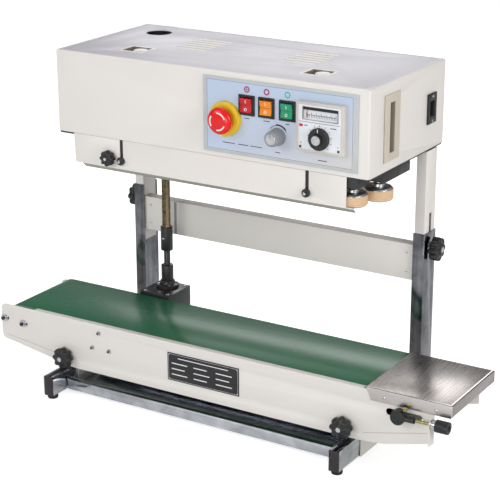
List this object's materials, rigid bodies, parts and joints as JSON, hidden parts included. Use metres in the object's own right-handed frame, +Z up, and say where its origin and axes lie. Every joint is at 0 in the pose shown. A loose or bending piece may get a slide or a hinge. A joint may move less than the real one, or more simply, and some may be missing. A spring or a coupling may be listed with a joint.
{
  "type": "continuous band sealer",
  "caption": "Free-standing continuous band sealer: a heated band head with a control panel, telescoping columns and a flat belt conveyor.",
  "frame": {"origin": "on the surface that the machine stands on, under the middle of its overall box", "axes": "+X along the conveyor to the tray, -Y towards the operator, +Z up"},
  "size_m": [0.842, 0.3346, 0.58],
  "materials": {
    "powder_coat": "warm off-white textured powder coat",
    "chrome_tube": "bright chrome plate",
    "stainless": "brushed stainless sheet",
    "black_steel": "black oxide or black paint, satin",
    "black_plastic": "moulded black plastic",
    "foot_rubber": "black rubber",
    "pvc_belt": "glossy green PVC conveyor belting",
    "yellow_zinc": "yellow chromate zinc plate",
    "ptfe_band": "tan PTFE-coated glass cloth",
    "cast_aluminium": "machined aluminium",
    "heater_copper": "copper heating block",
    "panel_overlay": "pale blue printed overlay in a light grey frame",
    "red_plastic": "glossy red plastic",
    "amber_plastic": "translucent amber plastic",
    "green_plastic": "translucent green plastic",
    "grey_plastic": "fluted grey plastic",
    "ivory_plastic": "ivory plastic"
  },
  "bodies": {
    "base": {"arm_left": "chrome_tube", "arm_right": "chrome_tube", "arm_sleeve_left": "powder_coat", "arm_sleeve_right": "powder_coat", "foot_front_left": "foot_rubber", "foot_front_right": "foot_rubber", "foot_rear_left": "foot_rubber", "foot_rear_right": "foot_rubber", "cross_channel": "chrome_tube", "column_left": "chrome_tube", "column_right": "chrome_tube", "bracket_left": "black_steel", "bracket_right": "black_steel", "conveyor_plate_front": "powder_coat", "conveyor_plate_rear": "powder_coat", "slider_bed": "stainless", "conveyor_belt": "pvc_belt", "gearbox_housing": "black_steel", "side_tray": "stainless"},
    "lift": {"inner_column_left": "powder_coat", "inner_column_right": "powder_coat", "cross_beam": "powder_coat", "head_casing": "powder_coat", "top_cover": "powder_coat", "base_plate": "black_steel", "control_panel": "panel_overlay", "temperature_controller": "ivory_plastic", "rail_front": "black_steel", "rail_rear": "black_steel", "heater_block_front": "heater_copper", "heater_block_rear": "heater_copper", "seal_band_front": "ptfe_band", "seal_band_rear": "ptfe_band", "handle_cup": "ivory_plastic", "mains_inlet": "black_plastic", "drive_motor": "cast_aluminium"},
    "takeup": {"takeup_block": "black_plastic"},
    "column_knob_left": {"column_knob_left": "black_plastic"},
    "column_knob_right": {"column_knob_right": "black_plastic"},
    "conveyor_knob_left": {"conveyor_knob_left": "black_plastic"},
    "conveyor_knob_right": {"conveyor_knob_right": "black_plastic"},
    "tension_screw": {"tension_screw": "yellow_zinc"},
    "lower_shaft": {"lower_shaft": "black_steel"},
    "upper_shaft": {"upper_shaft": "yellow_zinc"},
    "drive_roller": {"drive_roller": "foot_rubber"},
    "roller_left": {"roller_left": "stainless"},
    "roller_right": {"roller_right": "stainless"},
    "band_wheel_front_left": {"band_wheel_front_left": "cast_aluminium"},
    "band_wheel_front_right": {"band_wheel_front_right": "cast_aluminium"},
    "band_wheel_rear_left": {"band_wheel_rear_left": "cast_aluminium"},
    "band_wheel_rear_right": {"band_wheel_rear_right": "cast_aluminium"},
    "guard": {"front_guard": "powder_coat"},
    "guard_knob": {"guard_knob": "black_plastic"},
    "estop_button": {"estop_button": "red_plastic"},
    "rocker_power": {"rocker_power": "red_plastic"},
    "rocker_heater": {"rocker_heater": "amber_plastic"},
    "rocker_fan": {"rocker_fan": "green_plastic"},
    "speed_knob": {"speed_knob": "grey_plastic"},
    "temperature_knob": {"temperature_knob": "black_plastic"}
  },
  "joints": [
    {"name": "head_lift", "type": "slide", "parent": "base", "child": "lift", "axis": [0, 0, 1], "range_m": [-0.02, 0.08]},
    {"name": "column_knob_left_turn", "type": "hinge", "parent": "base", "child": "column_knob_left", "pos_m": [-0.308, 0.13075, 0.279], "axis": [-1, 0, 0], "range_deg": [0, 1080]},
    {"name": "column_knob_right_turn", "type": "hinge", "parent": "base", "child": "column_knob_right", "pos_m": [0.262, 0.13075, 0.279], "axis": [1, 0, 0], "range_deg": [0, 1080]},
    {"name": "conveyor_knob_left_turn", "type": "hinge", "parent": "base", "child": "conveyor_knob_left", "pos_m": [-0.2844, -0.13025, 0.0669], "axis": [0, -1, 0], "range_deg": [0, 1080]},
    {"name": "conveyor_knob_right_turn", "type": "hinge", "parent": "base", "child": "conveyor_knob_right", "pos_m": [0.2438, -0.13025, 0.0669], "axis": [0, -1, 0], "range_deg": [0, 1080]},
    {"name": "takeup_slide", "type": "slide", "parent": "base", "child": "takeup", "axis": [1, 0, 0], "range_m": [-0.008, 0]},
    {"name": "tension_turn", "type": "hinge", "parent": "base", "child": "tension_screw", "pos_m": [0.392, -0.13575, 0.1075], "axis": [1, 0, 0], "range_deg": [-2880, 0]},
    {"name": "shaft_turn", "type": "hinge", "parent": "base", "child": "lower_shaft", "pos_m": [-0.222, 0.08575, 0.15], "axis": [0, 0, 1], "continuous": true},
    {"name": "upper_shaft_turn", "type": "hinge", "parent": "lift", "child": "upper_shaft", "pos_m": [-0.222, 0.08575, 0.3], "axis": [0, 0, 1], "continuous": true},
    {"name": "drive_roller_turn", "type": "hinge", "parent": "base", "child": "drive_roller", "pos_m": [-0.222, -0.00925, 0.103], "axis": [0, 1, 0], "continuous": true},
    {"name": "roller_left_turn", "type": "hinge", "parent": "base", "child": "roller_left", "pos_m": [-0.392, -0.00925, 0.1075], "axis": [0, 1, 0], "continuous": true},
    {"name": "roller_right_turn", "type": "hinge", "parent": "takeup", "child": "roller_right", "pos_m": [0.339, -0.00925, 0.1075], "axis": [0, 1, 0], "continuous": true},
    {"name": "band_wheel_front_left_turn", "type": "hinge", "parent": "lift", "child": "band_wheel_front_left", "pos_m": [-0.091, -0.06215, 0.405], "axis": [0, 0, 1], "continuous": true},
    {"name": "band_wheel_front_right_turn", "type": "hinge", "parent": "lift", "child": "band_wheel_front_right", "pos_m": [0.217, -0.06215, 0.405], "axis": [0, 0, 1], "continuous": true},
    {"name": "band_wheel_rear_left_turn", "type": "hinge", "parent": "lift", "child": "band_wheel_rear_left", "pos_m": [-0.072, -0.01535, 0.405], "axis": [0, 0, 1], "continuous": true},
    {"name": "band_wheel_rear_right_turn", "type": "hinge", "parent": "lift", "child": "band_wheel_rear_right", "pos_m": [0.236, -0.01535, 0.405], "axis": [0, 0, 1], "continuous": true},
    {"name": "guard_drop", "type": "slide", "parent": "lift", "child": "guard", "axis": [0, 0, -1], "range_m": [0, 0.03]},
    {"name": "guard_knob_turn", "type": "hinge", "parent": "guard", "child": "guard_knob", "pos_m": [-0.2086, -0.09125, 0.4143], "axis": [0, -1, 0], "range_deg": [0, 1080]},
    {"name": "estop_press", "type": "slide", "parent": "lift", "child": "estop_button", "axis": [0, 1, 0], "range_m": [0, 0.004]},
    {"name": "rocker_power_tilt", "type": "hinge", "parent": "lift", "child": "rocker_power", "pos_m": [0.0505, -0.09225, 0.533], "axis": [-1, 0, 0], "range_deg": [0, 12]},
    {"name": "rocker_heater_tilt", "type": "hinge", "parent": "lift", "child": "rocker_heater", "pos_m": [0.085, -0.09225, 0.533], "axis": [-1, 0, 0], "range_deg": [0, 12]},
    {"name": "rocker_fan_tilt", "type": "hinge", "parent": "lift", "child": "rocker_fan", "pos_m": [0.121, -0.09225, 0.533], "axis": [-1, 0, 0], "range_deg": [0, 12]},
    {"name": "speed_turn", "type": "hinge", "parent": "lift", "child": "speed_knob", "pos_m": [0.1045, -0.09125, 0.4915], "axis": [0, -1, 0], "range_deg": [0, 270]},
    {"name": "temperature_turn", "type": "hinge", "parent": "lift", "child": "temperature_knob", "pos_m": [0.181, -0.10125, 0.5005], "axis": [0, -1, 0], "range_deg": [0, 270]}
  ],
  "couplings": [
    {"joint": "upper_shaft_turn", "follows": "shaft_turn", "ratio": 1},
    {"joint": "drive_roller_turn", "follows": "shaft_turn", "ratio": 1},
    {"joint": "roller_left_turn", "follows": "shaft_turn", "ratio": 0.806},
    {"joint": "roller_right_turn", "follows": "shaft_turn", "ratio": 0.806},
    {"joint": "tension_turn", "follows": "takeup_slide", "rad_per_m": 6283},
    {"joint": "band_wheel_front_left_turn", "follows": "shaft_turn", "ratio": -0.85},
    {"joint": "band_wheel_front_right_turn", "follows": "shaft_turn", "ratio": -0.85},
    {"joint": "band_wheel_rear_left_turn", "follows": "shaft_turn", "ratio": 0.85},
    {"joint": "band_wheel_rear_right_turn", "follows": "shaft_turn", "ratio": 0.85}
  ]
}
